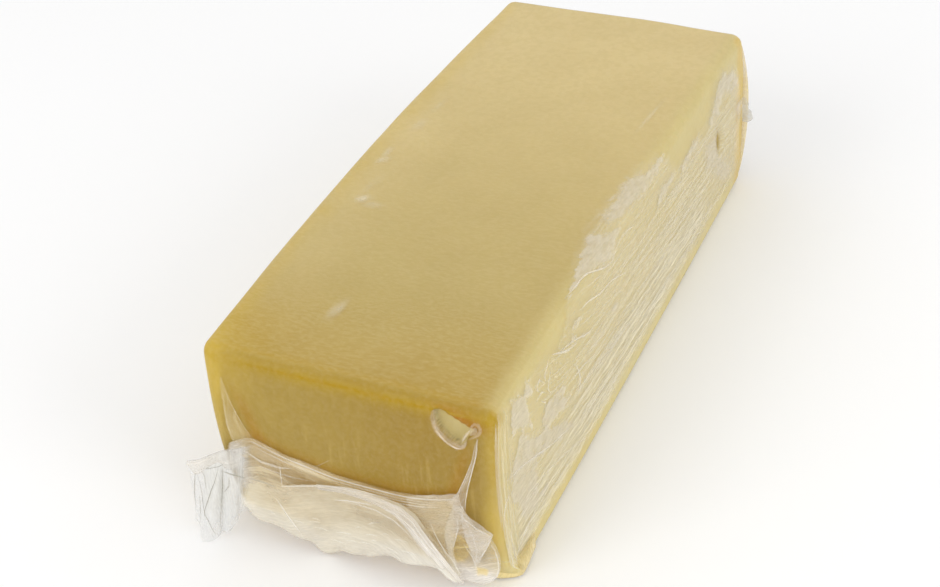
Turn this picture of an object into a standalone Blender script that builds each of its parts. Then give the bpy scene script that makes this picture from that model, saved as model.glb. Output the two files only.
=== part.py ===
"""A block of gouda, vacuum-packed in clear shrink film.

The block lies on its base with its long side along Y. Its top, its ends and its left side are
smooth rind, and its right side, at +X, is a cut face. At both ends the film closes in a level seam
at half height: the spare film past the seam is folded down over the end as a flap, and its corners
stand off as ears, with a small web of film running up the end to each corner.

One solid is the whole pack: the block, with the folded film fused to it and the eyes cut in.
Metres, +Z up, origin in the middle of the face that it rests on.
"""

import math

import bmesh
import bpy
from mathutils import Vector

MM = 0.001

# The block: the rind has crowned the ends and the left side, the cut side is nearly flat
LENGTH = 300 * MM
WIDTH = 125 * MM
HEIGHT = 88 * MM
RADIUS_TOP_LEFT = 5 * MM
RADIUS_TOP_RIGHT = 6 * MM
RADIUS_LOW_LEFT = 10 * MM
RADIUS_LOW_RIGHT = 4 * MM
LEFT_BARREL = 3.2 * MM
RIGHT_BARREL = 0.6 * MM
TOP_CROWN = 2.2 * MM
NEAR_CROWN = 4.5 * MM
FAR_CROWN = 7 * MM
ARC_STEPS = 4
FLAT_STEPS = (7, 16, 6)
SHARP_ANGLE = math.radians(40)

# The eyes: how far across or along and how high, and half the hollow in X, Y and Z
END_EYE_ACROSS = 46 * MM
END_EYE_UP = 76 * MM
END_EYE_HALF = Vector((10.5 * MM, 7 * MM, 8 * MM))
END_EYE_TILT = math.radians(24)
SIDE_EYE_ALONG = 108 * MM
SIDE_EYE_UP = 46 * MM
SIDE_EYE_HALF = Vector((3.5 * MM, 5 * MM, 8 * MM))
EYE_SEGMENTS = 24
EYE_RINGS = 12

# The folded film of the near end: places across in X and up in Z. A wave or pleat of step s is
# sin(x / s), and one of turn t is sin(t * u), where u runs from 0 to 1 along the film
SEAM_LOWEST = 40 * MM
SEAM_MIDDLE = 8 * MM
SEAM_RISE = 4.6
FOLD_BACK = 6 * MM
FLAP_LEFT = -50 * MM
FLAP_RIGHT_TOP = 13 * MM
FLAP_RIGHT_LOW = 44 * MM
FLAP_ROOT = 2 * MM
FLAP_BOW = 6.5 * MM
FLAP_HEM = 8 * MM
HEM_CORNER = 6 * MM
HEM_CORNER_START = -32 * MM
HEM_WAVE = 1 * MM
HEM_WAVE_STEP = 6.1 * MM
HEM_RIPPLE = 0.7 * MM
HEM_RIPPLE_STEP = 2.9 * MM
PLEAT = 0.6 * MM
FLAP_PLEAT_STEP = 4.2 * MM
FLAP_PLEAT_LEAN = 2
FLAP_GRID = (34, 8)
TUCK_LEFT = 5 * MM
TUCK_RIGHT = 60 * MM
TUCK_TURN = 43 * MM
TUCK_DROP = 14 * MM
TUCK_BELOW_SEAM = 0.6 * MM
TUCK_ROOT = 1.2 * MM
TUCK_BOW = 4.5 * MM
TUCK_HEM = 6.5 * MM
TUCK_PLEAT_TURN = 13
TUCK_PLEAT_LEAN = 3
TUCK_GRID = (18, 6)
EAR_THICK = 1.6 * MM
EAR_ROOT_TOP = Vector((-50 * MM, -155.5 * MM, 45 * MM))
EAR_TIP = Vector((-76 * MM, -157 * MM, 28.5 * MM))
EAR_ROOT_HEM = Vector((-49 * MM, -156 * MM, 12 * MM))
EAR_TIP_HEM = Vector((-69 * MM, -169.5 * MM, 1.5 * MM))
EAR_ARCH = 1 * MM
EAR_SWING = 6 * MM
EAR_HEM_DROP = 1.8
EAR_CRUMPLE = 1.5 * MM
EAR_CRUMPLE_TURN = 9
EAR_LOBE = 2 * MM
EAR_LOBE_TURN = 2.6 * math.pi
EAR_GRID = (14, 8)
WEB_TOP = 76 * MM
WEB_TOP_STAND = 0.4 * MM
WEB_STAND = 5 * MM
WEB_SLANT = 2 * MM
WEB_DEPTH = 9 * MM
WEB_LEFT = (-52.5 * MM, -50 * MM, -38 * MM)
WEB_RIGHT = (54 * MM, 49.5 * MM, 43 * MM)

# The far end is folded alike; only the ear at the cut side shows past it
FAR_EAR_ROOT = 10 * MM
FAR_EAR_OUT = 5.5 * MM
FAR_EAR_TOP = 49 * MM
FAR_EAR_LOW = 31 * MM
FAR_EAR_INSET = 1 * MM
FAR_EAR_FLARE = 2.5 * MM
FAR_EAR_SLANT = 2 * MM
FAR_EAR_TAPER = 0.35
FAR_EAR_GRID = (6, 6)


def reset():
    """Start from an empty scene."""
    for thing in list(bpy.data.objects):
        bpy.data.objects.remove(thing, do_unlink=True)


def collection(name):
    """A collection of this name in the scene."""
    made = bpy.data.collections.new(name)
    bpy.context.scene.collection.children.link(made)
    return made


def cheese_in_film():
    """Young gouda seen through glossy clear film."""
    made = bpy.data.materials.new("cheese_in_film")
    made.use_nodes = True
    shader = made.node_tree.nodes["Principled BSDF"]
    shader.inputs["Base Color"].default_value = (0.56, 0.41, 0.17, 1)
    shader.inputs["Roughness"].default_value = 0.3
    shader.inputs["Metallic"].default_value = 0.0
    return made


def placed(name, bm, group):
    """The object of a finished bmesh, in its collection."""
    bmesh.ops.recalc_face_normals(bm, faces=bm.faces)
    mesh = bpy.data.meshes.new(name)
    bm.to_mesh(mesh)
    bm.free()
    thing = bpy.data.objects.new(name, mesh)
    group.objects.link(thing)
    return thing


def clamp(value, limit):
    """The value held between minus and plus the limit."""
    return max(-limit, min(limit, value))


def ease(value):
    """A smooth step from 0 to 1."""
    share = max(0.0, min(1.0, value))
    return share * share * (3 - 2 * share)


def edge_radius(point):
    """Radius of the rounded edges near a point, blended between the four long edges."""
    right = 0.5 + point.x / WIDTH
    top = 0.5 + point.z / HEIGHT
    low = RADIUS_LOW_LEFT * (1 - right) + RADIUS_LOW_RIGHT * right
    high = RADIUS_TOP_LEFT * (1 - right) + RADIUS_TOP_RIGHT * right
    return low * (1 - top) + high * top


def rounded(point):
    """The point of the rounded block for a point on the sharp one, both about its middle."""
    radius = edge_radius(point)
    core = Vector((
        clamp(point.x, WIDTH / 2 - radius),
        clamp(point.y, LENGTH / 2 - radius),
        clamp(point.z, HEIGHT / 2 - radius),
    ))
    return core + (point - core).normalized() * radius


def swelled(point):
    """The rounded block's point with its faces crowned, standing on Z = 0."""
    along = 1 - (2 * point.y / LENGTH) ** 2
    up = 1 - (2 * point.z / HEIGHT) ** 2
    barrel = LEFT_BARREL if point.x < 0 else RIGHT_BARREL
    crown = NEAR_CROWN if point.y < 0 else FAR_CROWN
    return Vector((
        point.x * (1 + 2 * barrel / WIDTH * along),
        point.y * (1 + 2 * crown / LENGTH * up),
        (point.z + HEIGHT / 2) * (1 + TOP_CROWN / HEIGHT * along),
    ))


def cut_places(size, flat_steps):
    """Where a side is cut: even over the flat, and by equal angles over each rounded edge."""
    radius = max(RADIUS_TOP_RIGHT, RADIUS_LOW_LEFT)
    flat = size / 2 - radius
    places = [flat * (2 * step / flat_steps - 1) for step in range(flat_steps + 1)]
    for step in range(1, ARC_STEPS):
        reach = flat + radius * math.tan(math.radians(45) * step / ARC_STEPS)
        places += [reach, -reach]
    return places


def make_block(group):
    """The block: a cube cut into strips, with its edges rounded and its faces crowned."""
    bm = bmesh.new()
    bmesh.ops.create_cube(bm, size=1)
    bmesh.ops.scale(bm, vec=(WIDTH, LENGTH, HEIGHT), verts=bm.verts)
    for axis, size in enumerate((WIDTH, LENGTH, HEIGHT)):
        normal = Vector((0, 0, 0))
        normal[axis] = 1
        for place in cut_places(size, FLAT_STEPS[axis]):
            everything = list(bm.verts) + list(bm.edges) + list(bm.faces)
            bmesh.ops.bisect_plane(bm, geom=everything, plane_co=normal * place, plane_no=normal)
    for vertex in bm.verts:
        vertex.co = swelled(rounded(vertex.co))
    return placed("cheese_pack", bm, group)


def sheet(name, grid, place, group):
    """A grid bent into shape: place gives the point for u and v from 0 to 1."""
    bm = bmesh.new()
    bmesh.ops.create_grid(bm, x_segments=grid[0], y_segments=grid[1], size=0.5)
    for vertex in bm.verts:
        vertex.co = place(vertex.co.x + 0.5, vertex.co.y + 0.5)
    return placed(name, bm, group)


def seam_height(x):
    """Height of the seam on the end: lowest near the middle, rising to the corners."""
    return SEAM_LOWEST + SEAM_RISE * (x - SEAM_MIDDLE) ** 2


def hem_height(x):
    """Height of the flap's free edge: wavy, and higher towards the left corner."""
    corner = ease((HEM_CORNER_START - x) / (HEM_CORNER_START - FLAP_LEFT))
    wave = HEM_WAVE * math.sin(x / HEM_WAVE_STEP)
    ripple = HEM_RIPPLE * math.sin(x / HEM_RIPPLE_STEP + 1)
    return FLAP_HEM + HEM_CORNER * corner + wave + ripple


def end_front(z):
    """Where the near end's crowned face stands at a height."""
    return -LENGTH / 2 - NEAR_CROWN * (1 - (2 * z / HEIGHT - 1) ** 2)


def flap_point(u, v):
    """The front of the folded flap: from the seam, v = 1, bowing out down to its hem, v = 0.

    Its right edge is an arc, from FLAP_RIGHT_TOP on the seam out to FLAP_RIGHT_LOW at the hem.
    """
    right = FLAP_RIGHT_TOP + (FLAP_RIGHT_LOW - FLAP_RIGHT_TOP) * (1 - v * v)
    x = FLAP_LEFT + (right - FLAP_LEFT) * u
    z = hem_height(x) * (1 - v) + seam_height(x) * v
    pleat = PLEAT * math.sin(x / FLAP_PLEAT_STEP + FLAP_PLEAT_LEAN * v) * (1 - v)
    out = FLAP_ROOT + FLAP_BOW * math.sin(math.pi / 2 * (1 - v)) + pleat
    return Vector((x, end_front(z) - out, z))


def tuck_point(u, v):
    """The film under the flap's right end, whose corner is folded back to a low point."""
    x = TUCK_LEFT + (TUCK_RIGHT - TUCK_LEFT) * u
    drop = TUCK_DROP * ease((x - TUCK_TURN) / (TUCK_RIGHT - TUCK_TURN))
    top = seam_height(min(x, TUCK_TURN)) - TUCK_BELOW_SEAM - drop
    z = TUCK_HEM * (1 - v) + top * v
    pleat = PLEAT * math.sin(TUCK_PLEAT_TURN * u + TUCK_PLEAT_LEAN * v) * math.sin(math.pi * v)
    out = TUCK_ROOT + TUCK_BOW * (1 - v * v) + pleat
    return Vector((x, end_front(z) - out, z))


def ear_point(u, v):
    """The left ear: a curtain from the seam's end out past the side, u = 1, hanging to v = 0.

    Its hem swings forward, dips in two lobes to the ground and is crumpled by a sine.
    """
    top = EAR_ROOT_TOP.lerp(EAR_TIP, u)
    top.z += EAR_ARCH * math.sin(math.pi * u)
    hem = EAR_ROOT_HEM.lerp(EAR_TIP_HEM, u)
    hem.y -= EAR_SWING * math.sin(math.pi * u)
    hem.z = EAR_TIP_HEM.z + (EAR_ROOT_HEM.z - EAR_TIP_HEM.z) * (1 - ease(EAR_HEM_DROP * u))
    hem.z += EAR_LOBE * math.sin(EAR_LOBE_TURN * u) ** 2 * u
    point = hem.lerp(top, v)
    point.y += EAR_CRUMPLE * math.sin(EAR_CRUMPLE_TURN * u) * (1 - v) * u
    return point


def far_ear_point(u, v):
    """The ear of the far end's seam, a short tab past the cut side, narrower at its tip."""
    x = WIDTH / 2 - FAR_EAR_ROOT + (FAR_EAR_ROOT + FAR_EAR_OUT) * u
    middle = (FAR_EAR_TOP + FAR_EAR_LOW) / 2
    half = (FAR_EAR_TOP - FAR_EAR_LOW) / 2 * (1 - FAR_EAR_TAPER * u)
    z = middle + half * (1 - 2 * v) + FAR_EAR_SLANT * (1 - u)
    y = LENGTH / 2 - FAR_EAR_INSET + FAR_EAR_FLARE * u * v
    return Vector((x - FAR_EAR_SLANT * v * u, y, z))


def backed(thing):
    """Fill a sheet of the near end back to a plane that lies inside the block."""
    bm = bmesh.new()
    bm.from_mesh(thing.data)
    bmesh.ops.triangulate(bm, faces=bm.faces)
    pulled = bmesh.ops.extrude_face_region(bm, geom=bm.faces, use_keep_orig=True)
    for item in pulled["geom"]:
        if isinstance(item, bmesh.types.BMVert):
            item.co.y = FOLD_BACK - LENGTH / 2
    bmesh.ops.recalc_face_normals(bm, faces=bm.faces)
    bm.to_mesh(thing.data)
    bm.free()
    return thing


def thickened(thing):
    """Give a free sheet its thickness, to both sides."""
    solidify = thing.modifiers.new("film", "SOLIDIFY")
    solidify.thickness = EAR_THICK
    solidify.offset = 0


def turned_to_far(thing):
    """Turn a near-end piece half a turn about Z, so that it stands at the far end."""
    for vertex in thing.data.vertices:
        vertex.co = Vector((-vertex.co.x, -vertex.co.y, vertex.co.z))


def make_web(name, spread, group):
    """A web: the hull round its apex on the end, the seam that it comes down to and the block."""
    apex_x, outer_x, inner_x = spread
    foot = seam_height(inner_x)
    front = end_front(foot)
    back = FOLD_BACK - LENGTH / 2
    bm = bmesh.new()
    for corner in (
        (apex_x, end_front(WEB_TOP) - WEB_TOP_STAND, WEB_TOP),
        (apex_x, back, WEB_TOP - WEB_SLANT),
        (outer_x, front - WEB_STAND, foot - WEB_SLANT),
        (outer_x, back, foot - 2 * WEB_SLANT),
        (inner_x, front - FLAP_ROOT, foot),
        (inner_x, back, foot - 2 * WEB_SLANT),
        (outer_x, front - WEB_STAND, foot - WEB_DEPTH),
        (inner_x, front - FLAP_ROOT, foot - WEB_DEPTH),
    ):
        bm.verts.new(corner)
    bmesh.ops.convex_hull(bm, input=bm.verts)
    return placed(name, bm, group)


def make_near_folds(group):
    """The folded film of the near end: flap, tuck, ear and the two webs."""
    backed(sheet("flap", FLAP_GRID, flap_point, group))
    backed(sheet("tuck", TUCK_GRID, tuck_point, group))
    thickened(sheet("ear", EAR_GRID, ear_point, group))
    make_web("web_left", WEB_LEFT, group)
    make_web("web_right", WEB_RIGHT, group)


def make_far_folds(group):
    """The same flap, tuck and webs turned round to the far end, and the ear past the side."""
    turned_to_far(backed(sheet("far_flap", FLAP_GRID, flap_point, group)))
    turned_to_far(backed(sheet("far_tuck", TUCK_GRID, tuck_point, group)))
    turned_to_far(make_web("far_web_right", WEB_LEFT, group))
    turned_to_far(make_web("far_web_left", WEB_RIGHT, group))
    thickened(sheet("far_ear", FAR_EAR_GRID, far_ear_point, group))


def eye(name, middle, half, turn, group):
    """A cutter for one eye: a round hollow stretched to its three half sizes."""
    bm = bmesh.new()
    bmesh.ops.create_uvsphere(bm, u_segments=EYE_SEGMENTS, v_segments=EYE_RINGS, radius=1)
    bmesh.ops.scale(bm, vec=half, verts=bm.verts)
    cutter = placed(name, bm, group)
    cutter.location = middle
    cutter.rotation_euler = (0, turn, 0)
    cutter.hide_render = True
    cutter.display_type = "WIRE"
    return cutter


def fuse(block, extras):
    """Join everything in the extras to the block, and remove what was joined."""
    union = block.modifiers.new("folds", "BOOLEAN")
    union.operation = "UNION"
    union.operand_type = "COLLECTION"
    union.collection = extras
    union.solver = "EXACT"
    bpy.context.view_layer.update()
    seen = block.evaluated_get(bpy.context.evaluated_depsgraph_get())
    joined = bpy.data.meshes.new_from_object(seen)
    block.modifiers.clear()
    block.data = joined
    for thing in list(extras.objects):
        bpy.data.objects.remove(thing, do_unlink=True)
    bpy.data.collections.remove(extras)


def cut(block, cutter):
    """Cut one hollow into the block."""
    difference = block.modifiers.new(cutter.name, "BOOLEAN")
    difference.operation = "DIFFERENCE"
    difference.object = cutter
    difference.solver = "EXACT"


def main():
    """Model the pack."""
    reset()
    pack = collection("gouda_block")
    cutters = collection("cutters")
    folds = collection("folds")
    block = make_block(pack)
    make_near_folds(folds)
    make_far_folds(folds)
    fuse(block, folds)
    end_eye = Vector((END_EYE_ACROSS, end_front(END_EYE_UP), END_EYE_UP))
    side_eye = Vector((WIDTH / 2, SIDE_EYE_ALONG, SIDE_EYE_UP))
    cut(block, eye("end_eye", end_eye, END_EYE_HALF, END_EYE_TILT, cutters))
    cut(block, eye("side_eye", side_eye, SIDE_EYE_HALF, 0, cutters))
    block.data.materials.clear()
    block.data.materials.append(cheese_in_film())
    block.data.shade_smooth()
    block.data.set_sharp_from_angle(angle=SHARP_ANGLE)


main()
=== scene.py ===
"""A block of gouda in clear shrink film: the looks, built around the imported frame.

Lengths are in millimetres while a shape is worked out, and become metres when it goes into its mesh.
Shapes are arrays of points: a surface of the block, or a sheet of film given by two parameters.
"""

import math

import bpy
import numpy as np
from mathutils import Matrix, Vector


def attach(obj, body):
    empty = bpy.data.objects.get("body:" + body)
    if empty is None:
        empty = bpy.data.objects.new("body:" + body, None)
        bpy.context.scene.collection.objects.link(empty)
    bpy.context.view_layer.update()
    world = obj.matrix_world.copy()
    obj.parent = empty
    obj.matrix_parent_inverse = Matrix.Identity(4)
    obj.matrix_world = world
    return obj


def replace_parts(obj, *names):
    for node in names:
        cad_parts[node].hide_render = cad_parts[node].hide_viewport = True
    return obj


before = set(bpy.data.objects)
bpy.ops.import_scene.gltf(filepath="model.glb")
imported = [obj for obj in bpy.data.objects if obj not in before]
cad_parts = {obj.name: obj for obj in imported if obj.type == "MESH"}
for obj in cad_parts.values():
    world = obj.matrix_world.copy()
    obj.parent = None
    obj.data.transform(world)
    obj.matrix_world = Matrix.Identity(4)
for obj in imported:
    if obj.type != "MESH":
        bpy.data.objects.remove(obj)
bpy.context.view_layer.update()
collection = bpy.context.scene.collection
# A millimetre in metres
MM = 0.001

# The block, as its solid has it: sides, long-edge radii (top left, top right, low left, low right),
# and how far each face stands out at its middle
SIZE = np.array([125.0, 300.0, 88.0])
RADII = (5.0, 6.0, 10.0, 4.0)
BARREL_LEFT, BARREL_RIGHT, CROWN_TOP, CROWN_NEAR, CROWN_FAR = 3.2, 0.6, 2.2, 4.5, 7.0
# The cheese lies this far inside the film. A sheet of film is drawn this thick
RIND_DEPTH = 0.6
FILM_THICK = 0.16
# The top's far right corner is this much low, and the foot of the near right corner is moved so
SLUMP = 2.0
FOOT_MOVE = np.array([0.8, 3.6, 0.8])
# The cut side's place across, the ends' along, and the top's height
SIDE, END, TOP = SIZE / 2 * (1, 1, 2)

# The near end's eye, as (across, up): its rim, and its flat floor
EYE_RIM = [(36, 83.5), (35.7, 80.8), (36, 78.2), (37.5, 75.5), (41.1, 72.5), (43.8, 70.4), (46.3, 69.4),
           (48.6, 70.2), (50.1, 71.6), (50.7, 74.8), (52.1, 76), (55, 78.1), (55.8, 80.4), (54.6, 82),
           (52.6, 80.9), (51.2, 79.9), (48.2, 81.2), (45.2, 82.6), (42.2, 83.9), (39.2, 85.2)]
EYE_FLOOR = [(37.6, 83.4), (37.5, 81), (37.6, 78.6), (38.8, 76.1), (41.7, 73.7), (44.1, 72.1), (46.4, 71.6),
             (48.2, 73.6), (50, 77), (50.2, 78.2), (47.4, 79.4), (44.6, 80.6), (41.8, 81.9), (39.4, 83.0)]
EYE_DEPTH = 3.4
# The cut side's eye, as (along, up): its middle, half sizes and lean
SIDE_EYE = (110.5, 46.5, 5.2, 10.5, 22.0)
SIDE_EYE_DEPTH = 3.2

# On the cut side, (along, up): past the top edge, up goes on across the top.
ZONE_TOP = [(-152, 87), (-139, 87), (-127, 85), (-118, 82), (-104, 79), (-96, 76.5), (-89, 79), (-84, 86),
            (-79, 89), (-74, 91), (-65, 93.5), (-55, 96), (-40, 97.5), (-29, 97.5), (-14, 96), (3, 94.5),
            (12, 93), (20, 90), (29, 86), (34, 78), (40, 71), (47, 68), (63, 68), (69, 70), (84, 67),
            (90, 71), (97, 77), (103, 80.5), (109, 83), (116, 81.5), (124, 78), (131, 74), (136, 65),
            (138, 56), (139, 40), (140, 20)]
ZONE_LOW, ZONE_FAR = 10.5, 138
PATCHES = [
    [(-125, 85), (-120, 79), (-120.5, 74.5), (-124.4, 76), (-124.5, 71.6), (-121, 63.3), (-121, 60),
     (-130.7, 67), (-138.6, 70.6), (-139.4, 78), (-138.5, 85), (-134.9, 84.2), (-127, 80)],
    [(-90.8, 55.8), (-88.5, 53), (-90, 51), (-96.4, 52.5), (-84.8, 46.5), (-84.2, 43.8), (-94.7, 45.5),
     (-104, 47.5), (-107.4, 47.6), (-112.5, 52.9), (-114.5, 56.4), (-109.6, 57), (-106.5, 60.4),
     (-100, 58.4)],
    [(-130.7, 66.7), (-124.7, 59.5), (-117.5, 53.3), (-112.8, 51.4), (-101.7, 45.2), (-85.5, 32.5),
     (-84, 28.7), (-91, 31), (-103, 35.5), (-114.3, 40.3), (-117.6, 41), (-118.8, 37.8), (-120.8, 29.9),
     (-116.6, 23.4), (-109.5, 25), (-111, 20.1), (-123.5, 21.5), (-129, 22), (-135.4, 26.2),
     (-135.9, 33.7), (-141, 41.5), (-142.5, 47), (-139.6, 50), (-144.3, 55), (-137.8, 57.3),
     (-134.7, 61.5)],
    [(3, 96), (13, 88), (20, 84.5), (6, 82), (-6, 83), (-21, 86), (-26, 90), (-30, 92), (-29, 96),
     (-17, 96.5)],
    [(-40, 97), (-36, 91), (-25, 84), (-30, 81), (-36, 79), (-35, 75), (-46, 79), (-64, 87), (-74, 88),
     (-83, 88), (-65, 93), (-52, 96)],
    [(42.3, 69), (35.4, 72), (21.9, 73), (16.3, 71.4), (17.3, 65.6), (21.7, 64.5), (30.7, 66)],
    [(115.6, 81), (131.2, 74), (135.3, 66.6), (135.3, 60.3), (128.6, 60), (118.8, 65.4), (109.5, 68.3),
     (104.1, 61.9), (96.2, 61.7), (87.3, 64.6), (89.3, 68.8), (95.8, 72.9), (103.2, 80), (108.7, 82.5)],
    [(67.8, 69.9), (74.2, 69.2), (73.2, 64.4), (55.4, 62.8), (47.3, 64.4), (44.3, 67.4), (53.4, 68.7)],
    [(21, 89), (29, 86), (24, 83), (14, 82), (3, 84), (-3, 86), (7, 89.5)],
    [(83, 58.5), (101.2, 51), (105, 40.6), (121, 27.6), (131, 21.4), (126.8, 15.7), (117, 15), (107, 22.8),
     (97.4, 33.9), (85.9, 38.5), (81, 51.9)],
    [(132.7, 53.7), (141.5, 49.6), (142.2, 40), (134.9, 39.4), (129.5, 47.4)],
    [(-81.1, 78.4), (-68.6, 71), (-80.8, 73.2)], [(-82, 72.4), (-64, 60), (-78, 66), (-83, 69.6)],
    [(-39.9, 52.8), (-34.7, 55.1), (-33.1, 50.4), (-36.2, 49.2)],
]
SIDE_LINES = [
    ([(-83.9, 30.3), (-102.8, 36.7), (-129.4, 49.7), (-144.3, 55.1)], 1.0),
    ([(-69, 10.3), (-83.4, 18.1), (-99, 24.6), (-115.7, 30.5), (-129.2, 29.7)], 0.8),
    ([(-111.2, 19.3), (-125.6, 20.1), (-134.1, 19.1), (-141.1, 16.1), (-145.1, 13)], 1.1),
    ([(-146.6, 6), (-147.5, 11.4), (-146.9, 15.4), (-149, 27.1)], 0.8),
    ([(-148.5, 33.8), (-148, 40.3), (-146.4, 46), (-142.5, 48)], 0.8),
    ([(-76.4, 64.9), (-86.6, 68.6), (-101.6, 77.9)], 1.6), ([(-58, 45.6), (-72.6, 50), (-85, 52.2)], 0.9),
    ([(-80.8, 58.2), (-75.4, 49.7), (-75.9, 44.9), (-80.6, 43.5)], 0.9),
    ([(-82, 90.5), (-73.6, 89.5), (-61.6, 86), (-45.6, 78.1), (-38.1, 76.2), (-32, 79.5), (-20, 80.6)], 1.1),
    ([(-73.3, 77.1), (-66.2, 76), (-52, 70.2), (-38.8, 67.5), (-21.3, 59.4)], 1.3),
    ([(-94.6, 74), (-79.6, 68.2), (-65.9, 61.1), (-60.5, 59.6)], 1.3),
    ([(-78.9, 59.2), (-74.9, 45.8), (-77.3, 39.9)], 0.7), ([(-12, 76), (-20, 79), (-28, 79.4)], 0.8),
    ([(-104, 79), (-109, 74), (-107, 70)], 0.8), ([(-112, 78), (-116, 73), (-113, 70)], 0.8),
    ([(-108, 66), (-112, 69), (-117, 69)], 0.7), ([(-102, 73), (-106, 66), (-103, 61)], 0.7),
    ([(-113, 66), (-108, 61), (-111, 58)], 0.7), ([(-119, 75), (-114, 76), (-109, 71)], 0.6),
]

# The end's film, as (across, up): the seam, the outer flap's top line and its hem, the lobe and the
# left line of the layers tucked under the flap, the fold's two lines, the pleat's, two clearer
# spots, the folded ear's two lines, and the webs' top and lines
SEAM = [(-55, 43.5), (-49, 47.2), (-44, 49.5), (-40.9, 49.4), (-35.8, 47.6), (-28.5, 45.4), (-21.5, 44.2),
        (-14.9, 42.8), (-6.8, 41.5), (5.4, 41.2), (21.4, 41.4), (30, 42.6), (38.4, 45), (45, 47.5)]
ARCH = [(-49, 29), (-44, 31), (-37.8, 31), (-31, 31.2), (-20.8, 35), (-10.8, 38.3), (-1.3, 40.6), (7.5, 41.2),
        (15.7, 40.6), (23.2, 39.2), (28.3, 35.5), (32.6, 27.1), (38.3, 16.7), (43.6, 6.6)]
HEM = [(-49.5, 17), (-46.9, 16.3), (-43.4, 13), (-38, 10.5), (-31, 8.3), (-25.3, 7.2), (-20, 5.0),
       (-17.5, 1.6), (-12.5, 0.8), (-7.5, 4.2), (-3.4, 6.4), (1, 5.6), (5, 6.5), (9.5, 9.9), (15, 11.6),
       (20, 9.6), (28.3, 11.8), (34, 11.6), (38.5, 11.4), (43.5, 5.5)]
LOBE = [(46, 50), (46.8, 45), (48.8, 39.6), (52.6, 34.6), (57.6, 33.2), (60.4, 28.9), (61.2, 23.4),
        (61, 18.9), (59.6, 12.6), (56.2, 7.2), (51.1, 3.2), (45.6, 2.4)]
TUCK_LEFT = [(24, 42), (24, 38), (24, 32), (25, 26), (28, 20), (32, 14), (38, 7), (43, 2.8)]
FOLD_TOP = [(-14, 38.4), (-1.3, 41.4), (7.5, 42.2), (15.7, 41.6), (24, 40.2), (29, 36), (33.4, 27.6),
            (39, 17.2), (45.6, 4.2)]
FOLD_LOW = [(-12, 36.6), (-1, 38.2), (7, 38.2), (14.6, 37), (20.5, 34.6), (24.6, 30), (28.8, 21.8),
            (33.6, 13.6), (38, 5.8)]
PLEAT_LEFT = [(44.6, 46), (42.6, 40), (40.4, 34), (39, 27), (39.6, 20), (41.6, 13), (43, 6)]
PLEAT_RIGHT = [(48.4, 46), (48, 40), (46, 34), (43.6, 27), (42, 20), (43, 13), (44.6, 6)]
AMBER_SPOT = [(41.4, 29.1), (45.6, 30), (49, 24.9), (48.5, 19), (45.4, 15), (42.4, 13), (40.6, 16),
              (39.9, 20)]
LOBE_SPOT = [(50.4, 13.2), (53, 14.2), (55.4, 13.7), (54.4, 9.7), (50.4, 9.1)]
EAR_FOLD_LEFT = [(47.2, 47), (47.4, 42), (47.6, 36), (48.6, 30), (50.2, 24), (51.4, 17.6)]
EAR_FOLD_RIGHT = [(47.6, 46.5), (50, 42.6), (54.8, 39.6), (60.5, 37), (58.4, 31.5), (53.4, 19.5)]
WEB_TOP = 76
WEB_LEFT = ([(-52.8, 76.7), (-52.7, 69.7), (-52.5, 62.5), (-52.6, 54.2), (-51.6, 50), (-50.5, 45.4)],
            [(-52.2, 76.2), (-50.2, 69.8), (-48.3, 64.7), (-46.4, 60.4), (-43.4, 54.5), (-40, 49.8)])
WEB_RIGHT = ([(54.5, 77), (52.7, 67.5), (49.9, 59.8), (46.3, 51), (43.4, 46.9), (40, 45)],
             [(54.9, 77), (54.5, 70.5), (52.6, 62.8), (50.6, 55.2), (49.2, 48.5), (48.4, 42)])

# The left ear, as (across, along, up): its top line and its hem
EAR_TOP = [(-41, -156.5, 48.5), (-48.8, -157.2, 44.6), (-55.1, -157.6, 42.3), (-58.4, -157.6, 40.3),
           (-68.5, -157.2, 33.1), (-75.6, -157, 29.6)]
EAR_HEM = [(-46, -159, 17), (-53.5, -160.5, 9.8), (-53.2, -163, 6.8), (-56, -165, 3.2), (-60.2, -166, 2.0),
           (-60.4, -168.5, 0.8), (-62.8, -170.6, 0.5), (-67.8, -169, 0.6), (-70.4, -166, 1.8),
           (-72.8, -163, 5.1), (-74.4, -159, 20)]


def ease(value):
    """A smooth step: 3t^2 - 2t^3 of the value held between 0 and 1."""
    share = np.clip(value, 0.0, 1.0)
    return share * share * (3.0 - 2.0 * share)


def bell(*terms):
    """exp of less the sum of the terms' squares: 1 where all are 0, and next to nothing past 2."""
    return np.exp(-sum(term**2 for term in terms))


def xyz(x, y, z):
    """Points from their coordinates, each an array or one number."""
    return np.stack(np.broadcast_arrays(x, y, z), axis=-1)


def noise(points, cell, seed):
    """A smooth random field from -1 to 1: random values on a lattice of this cell, eased between
    the eight nearest corners."""
    table = np.random.default_rng(seed).uniform(-1.0, 1.0, (32, 32, 32))
    place = np.asarray(points, float) / np.asarray(cell, float)
    low = np.floor(place).astype(int)
    share = ease(place - low)
    total = np.zeros(place.shape[:-1])
    for corner in range(8):
        step = np.array([corner >> 2 & 1, corner >> 1 & 1, corner & 1])
        weight = np.prod(np.where(step == 1, share, 1.0 - share), axis=-1)
        index = (low + step) % 32
        total += weight * table[index[..., 0], index[..., 1], index[..., 2]]
    return total


def folds(points, cell, seed):
    """Sharp-crested folds from 0 to 1: one less the size of the noise, squared."""
    return (1.0 - np.abs(noise(points, cell, seed))) ** 2


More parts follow.
